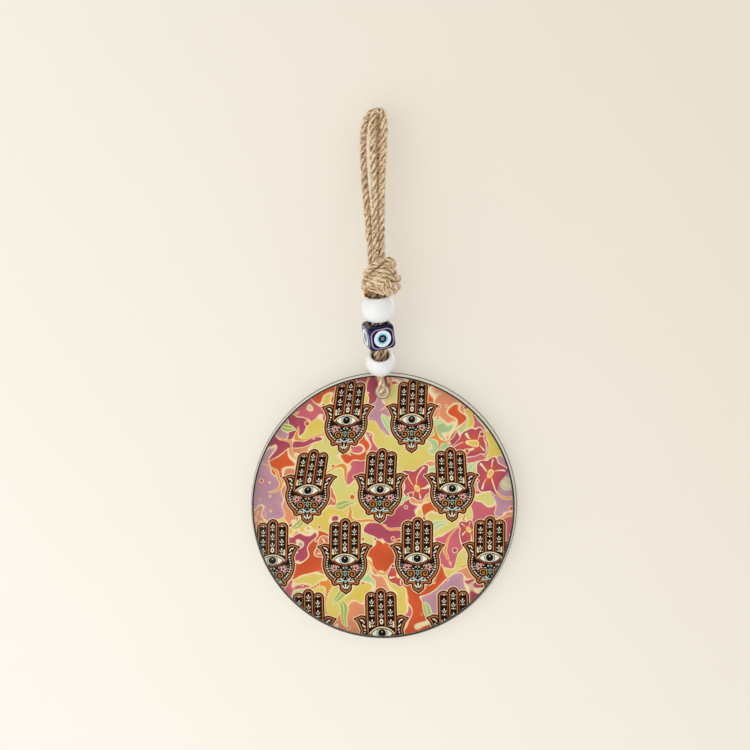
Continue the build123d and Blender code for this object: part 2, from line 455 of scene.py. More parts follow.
def carried_frames(places):
    """Direction and side of a line at each of its points, with as little turning as can be."""
    ways = []
    for index in range(len(places)):
        before = places[max(0, index - 1)]
        after = places[min(len(places) - 1, index + 1)]
        ways.append((after - before).normalized())
    side = ways[0].orthogonal().normalized()
    sides = [side]
    for here, after in zip(ways, ways[1:]):
        side = here.rotation_difference(after) @ side
        side = (side - after * side.dot(after)).normalized()
        sides.append(side)
    return ways, sides


def tube_faces(first, rings, sides):
    """Faces of a tube whose rings start at the point with this number: its wall, then its ends."""
    last = first + (rings - 1) * sides
    faces = []
    for ring in range(first, last, sides):
        for corner in range(sides):
            beside = (corner + 1) % sides
            faces.append((ring + corner, ring + beside, ring + sides + beside, ring + sides + corner))
    faces.append(tuple(first + corner for corner in reversed(range(sides))))
    faces.append(tuple(last + corner for corner in range(sides)))
    return faces


class Yarn:
    """Mesh of the yarns of one or more cords."""

    # How far the twist wanders, in radians, and over what length, in millimetres
    SLACK = 0.7
    SLACK_LENGTH = 7
    # How much a yarn's radius varies, and how fast from ring to ring
    LUMP = 0.2
    LUMP_STEP = 0.21

    def __init__(self, settings, seed):
        self.settings = settings
        self.random = random.Random(seed)
        self.points = []
        self.faces = []
        self.uvs = []
        self.proud = []
        self.shade = []

    def drift(self):
        """A place of its own in the noise."""
        return Vector((self.random.random() * 90, self.random.random() * 90, 0))

    def twist(self, places, lay_length):
        """Adds a cord of twisted yarns along a line."""
        jute = self.settings
        steps, total = even_steps(places, jute.ring_step)
        ways, sides = carried_frames(steps)
        start = self.random.random() * math.tau
        drift = self.drift()
        for ply in range(jute.ply_count):
            middles = []
            for index, (step, way, side) in enumerate(zip(steps, ways, sides)):
                walked = total * index / (len(steps) - 1)
                slack = self.SLACK * noise.noise(drift + Vector((0, 0, walked / (self.SLACK_LENGTH * MM))))
                angle = start + slack + math.tau * (walked / lay_length + ply / jute.ply_count)
                outward = Quaternion(way, angle) @ side
                middles.append((step + outward * jute.ply_offset, outward))
            self.tube(steps, middles, total)

    def tube(self, steps, middles, total):
        """Adds one yarn round its own line, with its seam towards the cord's middle."""
        jute = self.settings
        first = len(self.points)
        sides = jute.ring_sides
        tone = self.random.random()
        drift = self.drift()
        count = len(middles)
        for index, (middle, outward) in enumerate(middles):
            before = middles[max(0, index - 1)][0]
            after = middles[min(count - 1, index + 1)][0]
            way = (after - before).normalized()
            out = (outward - way * outward.dot(way)).normalized()
            across = way.cross(out)
            lump = 1 + self.LUMP * noise.noise(drift + Vector((0, 0, index * self.LUMP_STEP)))
            for corner in range(sides):
                angle = math.tau * corner / sides
                reach = (across * math.sin(angle) - out * math.cos(angle)) * jute.ply_radius * lump
                place = middle + reach
                self.points.append(place)
                self.proud.append((place - steps[index]).length / (jute.ply_offset + jute.ply_radius))
                self.shade.append(tone)
        self.faces.extend(tube_faces(first, count, sides))
        ring_length = total / (count - 1) / (MAP_LENGTH * MM)
        for index in range(count - 1):
            along, further = index * ring_length, (index + 1) * ring_length
            for corner in range(sides):
                low, high = corner / sides, (corner + 1) / sides
                self.uvs.extend([(along, low), (along, high), (further, high), (further, low)])
        self.uvs.extend([(0.0, corner / sides) for corner in range(sides)] * 2)

    def mesh_object(self, name, material):
        """The yarns as one piece, smooth along their length."""
        mesh = bpy.data.meshes.new(name)
        mesh.from_pydata(self.points, [], self.faces)
        layer = mesh.uv_layers.new(name="along_yarn")
        for corner, uv in zip(layer.data, self.uvs):
            corner.uv = uv
        for label, values in (("proud", self.proud), ("shade", self.shade)):
            attribute = mesh.attributes.new(label, "FLOAT", "POINT")
            attribute.data.foreach_set("value", values)
        mesh.materials.append(material)
        mesh.shade_smooth()
        mesh.update()
        return link(name, mesh)


def jute_material(jute, name, cut=False):
    """Twisted jute: long pale fibres over darker ones, with painted shade between the yarns."""
    material, canvas = new_canvas(name)
    along, around, _ = canvas.add("ShaderNodeUVMap", {"uv_map": "along_yarn"}).split()
    proud = canvas.add("ShaderNodeAttribute", {"attribute_name": "proud"}, output="Fac")
    shade = canvas.add("ShaderNodeAttribute", {"attribute_name": "shade"}, output="Fac")
    along_mm = along * MAP_LENGTH
    around_mm = around * YARN_ROUND
    fibre_way = 0.35
    across_fibre = around_mm + along_mm * fibre_way
    along_fibre = along_mm - around_mm * fibre_way

    def streaks(along_scale, across_scale, apart, detail, roughness=0.5):
        """Noise drawn out along the fibres, other for each yarn."""
        place = (along_fibre * along_scale).join(across_fibre * across_scale, shade * apart)
        return place.noise(1.0, detail, roughness)

    fibres = streaks(0.36, 5.4, 40, 3.0, 0.65)
    clumps = streaks(0.5, 0.9, 70, 2.0)
    specks = streaks(1.3, 2.2, 20, 2.0)
    # Painted shade: towards the grooves between the yarns the fibres turn to the dark fibre colour, where
    # shade falls.
    depth = (proud + clumps * 0.3 + specks * 0.9).below(1.35, 0.36)
    tone = fibres * 5.0 + clumps * 2.2 + shade * 0.16 - 2.96
    stops = [(0.08, jute.dark), (0.4, jute.middle), (0.74, jute.light)]
    if cut:
        stops = [(0.12, jute.dark), (0.55, jute.cut), (0.95, jute.middle)]
    sockets = {
        "Base Color": depth.blend(tone.ramp(*stops), jute.dark),
        "Roughness": fibres * 0.15 + 0.78,
        "Specular IOR Level": 0.04,
        "Normal": (fibres + clumps * 0.5).bump(0.8, 0.3 * MM),
    }
    return surfaced(material, principled(canvas, sockets))


def shared_jute(jute):
    """The jute of the cords, made once."""
    return bpy.data.materials.get("twisted_jute") or jute_material(jute, "twisted_jute")


class HANGING_OT_twist_loops(bpy.types.Operator):
    """Twist the two jute loops that hang on the nail"""

    bl_idname = "hanging.twist_loops"
    bl_label = "Twist hanging loops"

    def execute(self, context):
        jute = context.scene.hanging_jute
        loops = (
            ("front_loop_rope", FRONT_LOOP, "front_hanging_loop"),
            ("rear_loop_rope", REAR_LOOP, "rear_hanging_loop"),
        )
        for seed, (name, route, node) in enumerate(loops):
            places = follow_route(route)
            yarn = Yarn(jute, seed)
            yarn.twist(places, jute.lay_length)
            rope = yarn.mesh_object(name, shared_jute(jute))
            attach(rope, "cord")
            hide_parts(node)
        return {"FINISHED"}


def bead_ways(joint):
    """Directions of a bead: across its bore, to the back of it and along it."""
    bore = Vector(JOINTS[joint]["axis"]).normalized()
    back = bore.cross(Vector((1, 0, 0))).normalized()
    return back.cross(bore), back, bore


def threaded_route():
    """Down from the knot through the beads, through the hole in the glass, over its rim and back up."""
    disc_low, disc_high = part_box("glass_disc")
    middle = (disc_low.y + disc_high.y) / 2 / MM
    rim_top = Vector((0, middle, disc_high.z / MM))
    before_glass, behind_glass = -4.0, 4.25
    bight = -10.2
    by_rim = -0.9

    def bead_point(joint, side, depth, height):
        across, back, bore = bead_ways(joint)
        return Vector(JOINTS[joint]["pos_m"]) / MM + across * side + back * depth + bore * height

    def strand(side):
        return [
            bead_point("cube_spin", side, -1.6, -6.7),
            bead_point("cube_spin", side + 0.4, 0.2, 6.65),
            bead_point("upper_bead_spin", side + 0.2, 1.2, 7.41),
            KNOT_CENTRE + Vector((side, 0.8, -1.5)),
        ]

    front_strand = [
        rim_top + Vector((0, before_glass, bight)),
        rim_top + Vector((-1.0, before_glass, by_rim)),
        bead_point("lower_bead_spin", -1.25, -1.25, -3.6),
        *strand(-STRAND_SIDE),
    ]
    back_strand = [
        rim_top + Vector((0, behind_glass, bight)),
        rim_top + Vector((0.1, behind_glass + 0.1, by_rim)),
        rim_top + Vector((0.2, 1.9, 2.8)),
        rim_top + Vector((0.3, -1.7, 2.6)),
        bead_point("lower_bead_spin", 1.35, 1.3, -2.4),
        *strand(STRAND_SIDE),
    ]
    return [*reversed(front_strand), *back_strand]


class HANGING_OT_thread_cord(bpy.types.Operator):
    """Twist the cord that runs through the beads and the hole in the glass"""

    bl_idname = "hanging.thread_cord"
    bl_label = "Thread cord"

    def execute(self, context):
        jute = context.scene.hanging_jute
        yarn = Yarn(jute, 5)
        yarn.twist(follow_route(threaded_route()), jute.lay_length)
        rope = yarn.mesh_object("threaded_rope", shared_jute(jute))
        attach(rope, "cord")
        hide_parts("threaded_cord")
        return {"FINISHED"}


# Turns of the knot, from its centre, each with both ends tucked inside it
KNOT_TURNS = [
    # top of the slanting band, out of the gathered loops
    [(1.0, -0.5, 6.0), (1.2, -5.0, 8.4), (-2.4, -6.5, 5.8), (-5.8, -4.8, 2.8), (-7.2, -0.8, 1.2),
     (-5.4, 3.8, 1.8), (-1.0, 5.6, 3.4), (2.0, 3.0, 4.0)],
    # upper strand of the band
    [(1.0, 3.0, 3.0), (4.8, 3.6, 4.8), (6.2, -0.4, 6.0), (4.0, -6.2, 5.6), (0.2, -7.9, 3.0),
     (-4.2, -7.2, 0.2), (-7.4, -3.4, -1.8), (-7.9, 1.4, -2.2), (-4.6, 6.0, -1.2), (0.5, 7.0, 1.0),
     (3.0, 4.0, 1.5)],
    # middle strand of the band
    [(2.0, 4.0, 0.0), (5.4, 3.6, 1.4), (6.4, -0.8, 2.8), (4.2, -6.6, 2.8), (0.4, -8.4, 0.6),
     (-3.8, -7.6, -2.4), (-7.3, -4.2, -4.6), (-8.0, 0.8, -4.8), (-5.0, 5.2, -3.8), (-0.5, 6.8, -2.0),
     (2.5, 4.0, -1.0)],
    # lower strand of the band
    [(3.0, -2.0, 0.0), (2.4, -6.7, -0.8), (-0.8, -8.1, -3.3), (-3.8, -7.0, -5.5), (-6.2, -3.8, -6.5),
     (-6.4, 1.4, -5.6), (-2.8, 4.6, -4.8), (1.0, 3.5, -3.5)],
    # lobe at the upper right
    [(0.5, -1.0, 5.0), (1.8, -4.6, 7.4), (4.2, -4.0, 8.2), (6.0, -1.4, 7.0), (5.6, 2.2, 6.4),
     (2.6, 4.4, 6.2), (-0.4, 3.0, 5.4)],
    # upper of the two lobes at the right
    [(0.5, -3.0, -0.2), (2.4, -7.0, -0.2), (5.4, -6.4, -0.6), (8.1, -3.2, -0.6), (8.4, 1.0, -0.6),
     (5.6, 4.6, -1.0), (1.5, 5.0, -1.5)],
    # lower of the two lobes at the right
    [(0.2, -3.0, -2.0), (2.0, -7.2, -2.2), (4.9, -7.0, -4.2), (7.9, -4.2, -5.0), (8.5, 0.4, -4.6),
     (5.4, 4.2, -4.0), (1.0, 4.2, -3.6)],
    # strand that fans down from the middle
    [(0.2, -3.5, -1.2), (0.0, -7.6, -3.0), (1.2, -8.0, -5.4), (4.0, -6.8, -6.9), (6.6, -3.6, -7.0),
     (6.6, 0.6, -6.0), (3.4, 3.6, -5.0), (-0.5, 3.0, -4.2)],
    # strand round the mouth of the bead below
    [(-3.2, -1.0, -4.2), (-3.8, -5.0, -5.6), (-1.6, -7.4, -6.2), (1.4, -7.4, -7.4), (4.4, -4.8, -7.6),
     (5.0, -1.6, -6.8), (3.0, 1.0, -5.0)],
]
KNOT_TAIL = [(-2.6, -2.0, -3.4), (-4.8, -4.4, -5.6), (-6.2, -5.4, -7.2), (-7.0, -6.2, -8.9)]


def knot_line(points):
    """Smooth line of points given from the knot's centre."""
    return follow_route([KNOT_CENTRE + Vector(point) for point in points])


class HANGING_OT_tie_knot(bpy.types.Operator):
    """Tie the knot from turns of the same jute, with its cut tail"""

    bl_idname = "hanging.tie_knot"
    bl_label = "Tie knot"

    def execute(self, context):
        jute = context.scene.hanging_jute
        yarn = Yarn(jute, 11)
        for turn in KNOT_TURNS:
            yarn.twist(knot_line(turn), jute.knot_lay)
        knot = yarn.mesh_object("knot_turns", shared_jute(jute))
        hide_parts("overhand_knot")
        tail = Yarn(jute, 23)
        tail.twist(knot_line(KNOT_TAIL), jute.knot_lay)
        stub = tail.mesh_object("knot_tail", jute_material(jute, "cut_jute", cut=True))
        core = self.knot_core(jute)
        for piece in (knot, stub, core):
            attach(piece, "cord")
        return {"FINISHED"}

    def knot_core(self, jute):
        """Packed yarns in the middle of the knot, seen only through its gaps, coloured darker than the turns
        as painted shade.
        """
        radius, relief = 5.2, 0.9
        centre = KNOT_CENTRE * MM
        sphere = bpy.ops.mesh.primitive_ico_sphere_add
        core = add_shape("knot_core", sphere, subdivisions=4, radius=radius * MM, location=centre)
        bpy.ops.object.transform_apply(location=True, rotation=True, scale=True)
        for vertex in core.data.vertices:
            way = (vertex.co - centre).normalized()
            vertex.co += way * noise.noise(way * 3.0) * relief * MM
        core.data.shade_smooth()
        material, canvas = new_canvas("jute_core")
        fibres = object_place(canvas).noise(1.4, 3.0)
        # Painted shade: the core's colour runs only from the dark to the middle fibre tone.
        colour = fibres.ramp((0.3, jute.dark), (0.9, jute.middle))
        shader = principled(canvas, {"Base Color": colour, "Roughness": fibres * 0.1 + 0.85})
        core.data.materials.append(surfaced(material, shader))
        return core


class HANGING_OT_fray_jute(bpy.types.Operator):
    """Draw loose fibres out of the loops, the knot and the bight in the hole"""

    bl_idname = "hanging.fray_jute"
    bl_label = "Fray jute"

    def execute(self, context):
        jute = context.scene.hanging_jute
        chance = random.Random(31)
        outside = 0.93
        roots = []
        for name in ("front_loop_rope", "rear_loop_rope", "knot_turns"):
            mesh = context.scene.objects[name].data
            proud = mesh.attributes["proud"].data
            for vertex in mesh.vertices:
                if proud[vertex.index].value > outside:
                    roots.append((vertex.co, vertex.normal))
        chosen = chance.sample(roots, jute.hair_count)
        rim_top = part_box("glass_disc")[1].z
        rope = context.scene.objects["threaded_rope"].data
        bight = [(vertex.co, vertex.normal) for vertex in rope.vertices if vertex.co.z < rim_top]
        chosen.extend(chance.sample(bight, jute.bight_hair_count))
        points = []
        faces = []
        for root, outward in chosen:
            self.grow(chance, jute, root, outward, points, faces)
        mesh = bpy.data.meshes.new("jute_hairs")
        mesh.from_pydata(points, [], faces)
        mesh.shade_smooth()
        mesh.materials.append(self.fibre_material(jute))
        hairs = link("jute_hairs", mesh)
        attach(hairs, "cord")
        return {"FINISHED"}

    def fibre_material(self, jute):
        material, canvas = new_canvas("loose_fibre")
        tone = object_place(canvas).noise(0.9, 2.0)
        colour = tone.above(0.5, 0.4).blend(dimmed(jute.middle, 0.55), jute.light)
        sockets = {"Base Color": colour, "Roughness": 0.7, "Specular IOR Level": 0.1}
        return surfaced(material, principled(canvas, sockets))

    def grow(self, chance, jute, root, outward, points, faces):
        """One fibre, which leaves the cord at a slant, bends and thins to its tip."""
        rings, sides = 4, 3
        sunk, thinning, stray_stretch = 0.1, 0.75, 2.4
        aside = outward.orthogonal().normalized()
        aside.rotate(Quaternion(outward, chance.random() * math.tau))
        length = chance.uniform(0.8, 2.6) * MM
        if chance.random() < jute.stray_share:
            length *= stray_stretch
        lift = chance.uniform(0.0, 0.7)
        bend = chance.uniform(-0.5, 0.5)
        first = len(points)
        middle = root - outward * sunk * MM
        for ring in range(rings):
            share = ring / (rings - 1)
            way = (aside + outward * (lift + bend * share)).normalized()
            if ring:
                middle = middle + way * length / (rings - 1)
            side = way.orthogonal().normalized()
            radius = jute.hair_radius * (1 - thinning * share)
            for corner in range(sides):
                points.append(middle + Quaternion(way, math.tau * corner / sides) @ side * radius)
        faces.extend(tube_faces(first, rings, sides))


# Beads


def bore_place(canvas, joint):
    """Place on a bead, its distance from the bore's line and its height along it, in millimetres."""
    place = object_place(canvas, JOINTS[joint]["pos_m"])
    along = place.dot(JOINTS[joint]["axis"])
    reach = place.size()
    return place, (reach * reach - along * along).most(0).math("SQRT"), along


def lacquer_material(beads, name, joint):
    """White lacquer over turned wood, bare inside the bore."""
    material, canvas = new_canvas(name)
    place, from_bore, along = bore_place(canvas, joint)
    clouds = place.noise(0.35, 3.0)
    grain = (from_bore * 2.2).join(along * 0.25).noise(1.6, 4.0, 0.6)
    peel = place.noise(1.8, 2.0)
    white = clouds.above(0.5, 0.9).blend(dimmed(beads.lacquer, 0.95), beads.lacquer)
    wood = grain.blend(dimmed(beads.bare_wood, 0.45), beads.bare_wood)
    bare = from_bore.below(BORE_RADIUS + 0.25, 0.3)
    sockets = {
        "Base Color": bare.blend(white, wood),
        "Roughness": peel * 0.16 + bare * 0.4 + 0.2,
        "Coat Weight": 0.25,
        "Coat Roughness": 0.12,
        "Normal": (peel + grain * 0.35).bump(0.25, 0.05 * MM),
    }
    return surfaced(material, principled(canvas, sockets))


def dress(node, material):
    """Gives a CAD piece its finish."""
    data = frame["nodes"][node].data
    data.materials.clear()
    data.materials.append(material)


class HANGING_OT_finish_wood_beads(bpy.types.Operator):
    """Lacquer the two wooden beads"""

    bl_idname = "hanging.finish_wood_beads"
    bl_label = "Lacquer wooden beads"

    def execute(self, context):
        beads = context.scene.hanging_beads
        dress("upper_wood_bead", lacquer_material(beads, "upper_lacquer", "upper_bead_spin"))
        dress("lower_wood_bead", lacquer_material(beads, "lower_lacquer", "lower_bead_spin"))
        return {"FINISHED"}


def cube_place(canvas):
    """Place on the cube bead as a whole and along its own three directions, in millimetres."""
    across, back, bore = bead_ways("cube_spin")
    right = across * math.cos(CUBE_TURN) + back * math.sin(CUBE_TURN)
    place = object_place(canvas, JOINTS["cube_spin"]["pos_m"])
    return place, place.dot(right), place.dot(bore.cross(right)), place.dot(bore)


def aqua_spread(aside, up, flow):
    """From 0 at the inside of an eye's blue to 1 at its pale outside."""
    inner, outer = 1.95, 3.0
    return ((aside.span(up) - inner) / (outer - inner) + flow * 0.4 - 0.2).clamped()


def ring_spread(aside, up, flow):
    """1 along the middle of the line round an eye and 0 at its sides."""
    half_width, half_height, corner, line = 5.8, 5.2, 3.6, 0.8
    beyond_side = (aside - (half_width - corner)).most(0)
    beyond_top = (abs(up) - (half_height - corner)).most(0)
    from_middle = abs(beyond_side.span(beyond_top) - (corner - line / 2))
    return (from_middle + flow * 0.1).below(0.24, 0.26)


def lampwork_material(name, pale, deep, spread=None):
    """Glossy lampwork glass, flowing from one tone to another."""
    material, canvas = new_canvas(name)
    place, right, back, up = cube_place(canvas)
    flow = place.noise(0.45, 3.0)
    mask = flow.above(0.5, 0.5)
    if spread:
        mask = spread(abs(right).least(abs(back)), up, flow)
    ripple = place.noise(0.8, 2.0)
    sockets = {
        "Base Color": mask.blend(deep, pale),
        "Roughness": ripple * 0.1 + 0.08,
        "IOR": 1.5,
        "Normal": ripple.bump(0.2, 0.12 * MM),
    }
    return surfaced(material, principled(canvas, sockets))


class HANGING_OT_finish_cube(bpy.types.Operator):
    """Finish the lampwork cube and the layers of its eyes"""

    bl_idname = "hanging.finish_cube"
    bl_label = "Finish cube bead"

    def execute(self, context):
        beads = context.scene.hanging_beads
        layers = (
            ("cube_bead", "navy_lampwork", beads.navy, beads.navy_deep),
            ("eye_rings", "lilac_lampwork", beads.lilac, beads.violet, ring_spread),
            ("eye_whites", "white_lampwork", beads.white, dimmed(beads.white, 0.93)),
            ("eye_blues", "aqua_lampwork", beads.aqua_pale, beads.aqua, aqua_spread),
            ("eye_pupils", "black_lampwork", beads.black, dimmed(beads.black, 0.5)),
            ("eye_centres", "grey_lampwork", beads.grey, dimmed(beads.grey, 0.6)),
        )
        for node, *glass in layers:
            dress(node, lampwork_material(*glass))
        return {"FINISHED"}


# Printed film, drawn in millimetres

HALF_ROW_FOOT = 17.2
FIRST_EYE_RISE = 7.8
CHAIN_PERIOD = 4.7
DIAGONAL = 0.7071


def fine(distance):
    """Mask of a fine shape, sharp at its edge."""
    return distance.below(0.0, 0.15)


def capsule(x, y, side, low, high, radius):
    """Distance from an upright bar with round ends."""
    return (x - side).span(y - y.most(low).least(high)) - radius


def taper(x, y, start, end, start_radius, end_radius):
    """Distance from a bar between two points that narrows towards its end."""
    run_x, run_y = end[0] - start[0], end[1] - start[1]
    square = run_x * run_x + run_y * run_y
    from_x = x - start[0]
    from_y = y - start[1]
    share = (from_x * (run_x / square) + from_y * (run_y / square)).clamped()
    gap = (from_x - share * run_x).span(from_y - share * run_y)
    return gap - (share * (end_radius - start_radius) + start_radius)


def nearest_hand(look, flat, lean, row, y):
    """Sideways place within the nearest hand of a row, far off where the row has no hand."""
    widest_row, narrowing, highest_eye, far_off = 62, 0.35, 60, 40
    half = look.column_pitch / MM / 2
    odd = row.math("FLOORED_MODULO", 2.0)
    here = flat - y * lean - odd * half
    x = here.wrap(half)
    column = here - x + odd * half
    eye_rise = row * (look.row_pitch / MM) + FIRST_EYE_RISE
    row_end = eye_rise.most(0) * -narrowing + widest_row
    left_out = abs(column).math("GREATER_THAN", row_end).most(eye_rise.above(highest_eye))
    return abs(x) + left_out * far_off


def hand_place(look, across, up):
    """Place within the nearest printed hand, from its eye: sideways and upwards.

    The rows draw out towards the foot of the print. The columns lean, and close up towards its top.
    """
    pitch = look.row_pitch / MM
    low_part = (up + 25).least(0)
    rise = up * 1.038 + low_part * low_part * 0.00165 + (HALF_ROW_FOOT - FIRST_EYE_RISE)
    row = (rise / pitch).math("FLOOR")
    y = rise - row * pitch - HALF_ROW_FOOT
    spread = (up - 7).most(0) * 0.0032 + 1
    lean = up.math("MULTIPLY_ADD", 0.0013, 0.035)
    flat = (across + 1.8) * spread
    x = nearest_hand(look, flat, lean, row, y)
    below = nearest_hand(look, flat, lean, row - 1, y + pitch)
    tips = y.math("LESS_THAN", -13.0) * below.math("LESS_THAN", 8.6)
    x = x + tips * (below - x)
    return x / (spread * 0.6 + 0.4), y + tips * pitch


def outlined(colour, look, distance):
    """A shape with its double line, its band and its dark inside."""
    return layered(
        colour,
        (distance.below(0.12), look.ink),
        (distance.below(-0.5), look.terracotta),
        (distance.between(-0.98, -0.72, 0.2), look.peach),
        (distance.below(-1.2), look.ink),
        (distance.below(-1.55), look.night),
    )


def finger_chain(x, y):
    """Distance from a chain of palmettes and gems up a finger."""
    link_y = y.wrap(CHAIN_PERIOD / 2)
    drop = (x * 2.1).span(link_y - 1.05) - 0.62
    leaf = taper(x, link_y, (0.3, -0.25), (1.0, 0.6), 0.2, 0.13)
    gem = (x + abs(link_y + 1.3)) * DIAGONAL - 0.34
    speck = (x - 0.9).span(link_y + 1.3) - 0.2
    return drop.least(leaf).least(gem).least(speck)


def print_hand(colour, look, x, y):
    """Hamsa hands with an eye, laid over a ground colour."""
    middle = capsule(x, y, 0.0, 1.0, 18.4, 2.7)
    beside = capsule(x, y, 4.75, 1.0, 16.5, 2.9)
    palm = x.span(y + 2.0) - 10.9
    thumb = taper(x, y, (7.6, 0.0), (9.3, 5.7), 2.0, 2.6)
    beak = taper(x, y, (10.4, 6.2), (13.0, 6.8), 2.1, 0.45)
    palm = palm.melt(thumb.melt(beak, 0.8), 0.6)
    foot = (x - 5.3).span(y + 11.2) - 1.6
    palm = palm.melt(foot, 1.0)
    pendant = (x.span(y + 13.4) - 3.0).melt((x + abs(y + 14.6)) * DIAGONAL - 1.75, 0.8)
    palm = palm.melt(pendant, 0.7)
    whole = palm.least(middle).least(beside)

    colour = (whole.below(0.5, 0.3) * 0.9).blend(colour, look.cream)
    colour = outlined(colour, look, palm)
    angle = (y + 2.0).math("ARCTAN2", x)
    rim_dots = (palm + 2.1).span((angle * 8.6).wrap(0.6)) - 0.32
    colour = (fine(rim_dots) * y.above(-9.5)).blend(colour, look.sclera)
    colour = outlined(colour, look, beside)
    chain = fine(finger_chain(abs(x - 4.55), y)) * beside.below(-1.4)
    lash = taper(x, y, (5.7, 3.1), (6.0, 5.6), 0.5, 0.15)
    colour = layered(colour, (chain, look.sclera), (fine(lash), look.cream))
    colour = outlined(colour, look, middle)
    chain = fine(finger_chain(x, y + 1.9)) * middle.below(-1.4) * y.above(7.2)
    tear = (x * 1.5).span(y - 5.4) - 1.3
    colour = layered(
        colour,
        (chain, look.sclera),
        (tear.below(0.0), look.sclera),
        (tear.below(-0.75), look.night),
    )
    colour = print_palm(colour, look, x, y, palm)
    return print_eye(colour, look, x, y)


def print_palm(colour, look, x, y, palm):
    """Blossoms, scrolls and leaves under the eye."""
    inside = palm.below(-1.5) * y.below(-2.6)
    sockets = {"Vector": x.join(y), "Scale": 0.95}
    cells = x.add("ShaderNodeTexVoronoi", {"voronoi_dimensions": "2D"}, sockets)
    petal_x = x - 5.2
    petal_y = y + 4.2
    from_petals = petal_x.span(petal_y)
    turn = petal_y.math("ARCTAN2", petal_x)
    petals = from_petals - ((turn * 5).math("COSINE") * 0.45 + 1.5)
    scroll_x = x - 3.5
    scroll_y = y + 7.3
    reach = scroll_x.span(scroll_y)
    winding = scroll_y.math("ARCTAN2", scroll_x) * (1.3 / math.tau)
    scroll = abs((reach - winding).wrap(0.65)) - 0.23
    drop = (x * 2.1).span(y + 6.8) - 1.5
    wing = taper(x, y, (0.5, -10.6), (1.9, -9.6), 0.2, 0.38)
    wing = wing.least(taper(x, y, (1.6, -11.0), (3.9, -10.5), 0.16, 0.36))
    fan = taper(x, y, (0.0, -14.0), (0.0, -12.3), 0.16, 0.34)
    fan = fan.least(taper(x, y, (0.5, -14.4), (1.35, -13.1), 0.14, 0.34))
    return layered(
        colour,
        (inside * cells.below(0.2), look.sclera),
        (petals.below(0.25), look.night),
        (petals.below(0.0), look.rose),
        (from_petals.below(0.55), look.ink),
        (reach.below(2.3), look.night),
        (reach.below(2.2) * fine(scroll), look.gold),
        (drop.below(0.35), look.night),
        (drop.below(0.0), look.teal),
        (drop.below(-0.8), look.night),
        (fine(wing), look.frost),
        (fine(fan), look.sclera),
    )


def print_eye(colour, look, x, y):
    """Eye between its lids."""
    lid_radius = 7.0
    lid_drop = 4.85
    lids = x.span(y + lid_drop).most(x.span(y - lid_drop)) - lid_radius
    line = y.below(-0.2, 0.4).blend(look.cream, look.terracotta)
    white = lids.below(0.0)
    iris = x.span(y - 0.15)
    glint = x.span(y - 0.75)
    return layered(
        colour,
        (lids.below(1.3), look.night),
        (lids.between(0.42, 0.95), line),
        (white, look.sclera),
        (white * iris.below(2.65), look.ink),
        (white * iris.below(2.4), look.iris),
        (white * iris.below(1.85), look.night),
        (white * glint.below(0.28), look.sclera),
    )


def print_patch(place, scallop, colour, look, fill, offset, share, scale):
    """Lobed patch of one colour with a cream line round it."""
    moved = place.add("ShaderNodeMapping", None, {"Vector": place, "Location": offset})
    field = moved.noise(scale, 0.0) + scallop
    shaded = field.above(share + 0.06, 0.12).blend(fill, dimmed(fill, 0.84))
    line = field.above(share - 0.014, 0.008)
    return layered(colour, (line, look.cream), (field.above(share, 0.008), shaded))


def cell_motif(place, scale, randomness=0.85):
    """Scattered motifs: place from the nearest one's middle, and three random values of its own."""
    sockets = {"Vector": place, "Scale": scale, "Randomness": randomness}
    outputs = ("Color", "Position")
    chance, spot = place.add("ShaderNodeTexVoronoi", {"voronoi_dimensions": "2D"}, sockets, outputs)
    offset = place.add("ShaderNodeVectorMath", {"operation": "SUBTRACT"}, {0: place, 1: spot})
    x, y, _ = offset.split()
    return x, y, chance.split()


